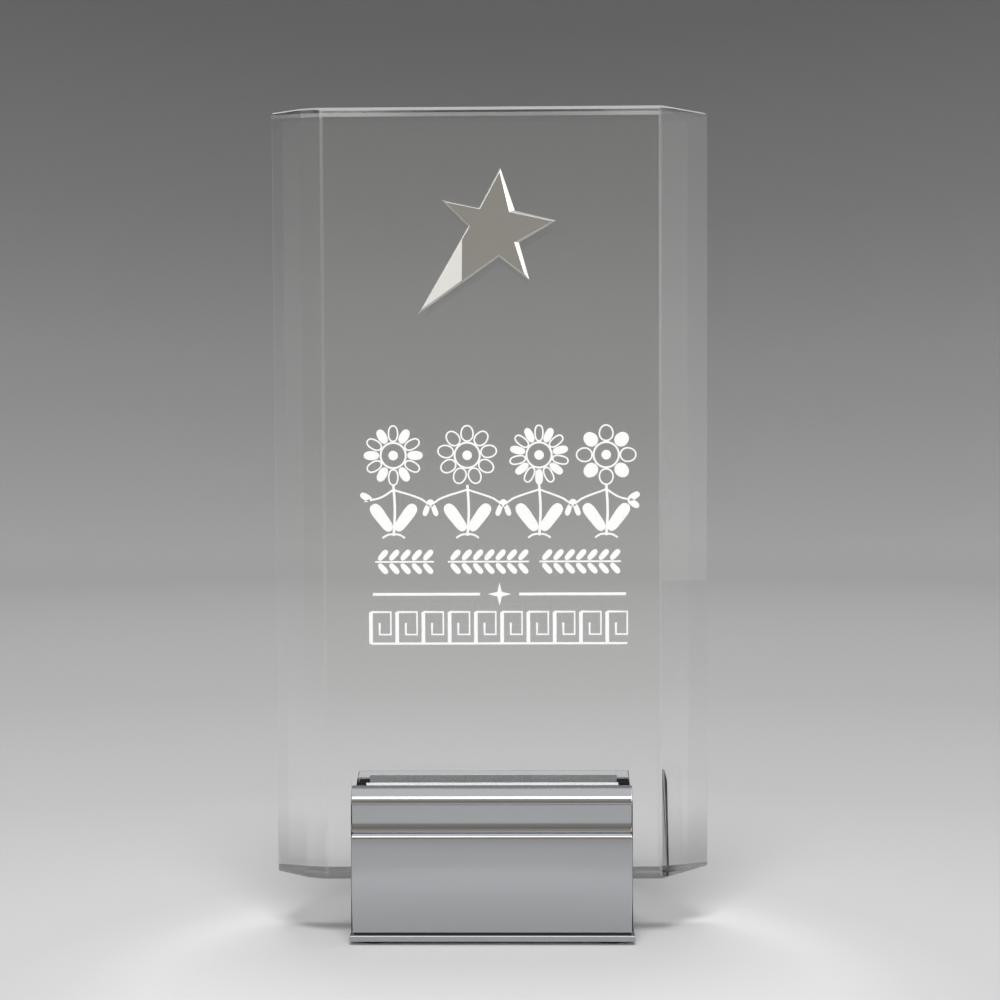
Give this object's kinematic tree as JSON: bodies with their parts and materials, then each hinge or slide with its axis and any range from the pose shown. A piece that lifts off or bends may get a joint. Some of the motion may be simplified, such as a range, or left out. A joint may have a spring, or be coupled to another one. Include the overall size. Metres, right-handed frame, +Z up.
{
  "type": "star trophy",
  "caption": "Bevelled clear crystal award panel with a metal shooting-star badge, standing upright in a two-jaw chromed base.",
  "frame": {"origin": "centre of the footprint at table level", "axes": "+Z up, -Y out of the front face, +X to the viewer's right when facing the front"},
  "size_m": [0.1016, 0.0326, 0.191],
  "materials": {
    "crystal": "polished optical crystal, clear, with bright ground edges",
    "polished_cast_metal": "die-cast, chrome plated and polished, slightly warm",
    "clear_adhesive": "clear double-sided acrylic bonding pad",
    "chrome_plate": "bright chrome plating on machined metal",
    "liner_tape": "dark grey foam tape",
    "black_rubber": "matt black rubber sheet",
    "satin_aluminium": "satin, as machined",
    "ground_steel": "plain steel, ground or zinc plated",
    "foot_rubber": "matt black non-slip rubber",
    "frosted_engraving": "sand-blasted white frost on the crystal's face"
  },
  "bodies": {
    "root": {"glass_panel": "crystal", "star_badge": "polished_cast_metal", "star_bond": "clear_adhesive", "front_jaw": "chrome_plate", "rear_jaw": "chrome_plate", "front_liner": "liner_tape", "rear_liner": "liner_tape", "seat_pad": "black_rubber", "spacer_bar": "satin_aluminium", "dowel_left": "ground_steel", "dowel_right": "ground_steel", "plate_gasket": "black_rubber", "base_plate": "chrome_plate", "jaw_screws": "ground_steel", "bar_screws": "ground_steel", "foot_front_left": "foot_rubber", "foot_front_right": "foot_rubber", "foot_rear_left": "foot_rubber", "foot_rear_right": "foot_rubber"}
  },
  "joints": []
}
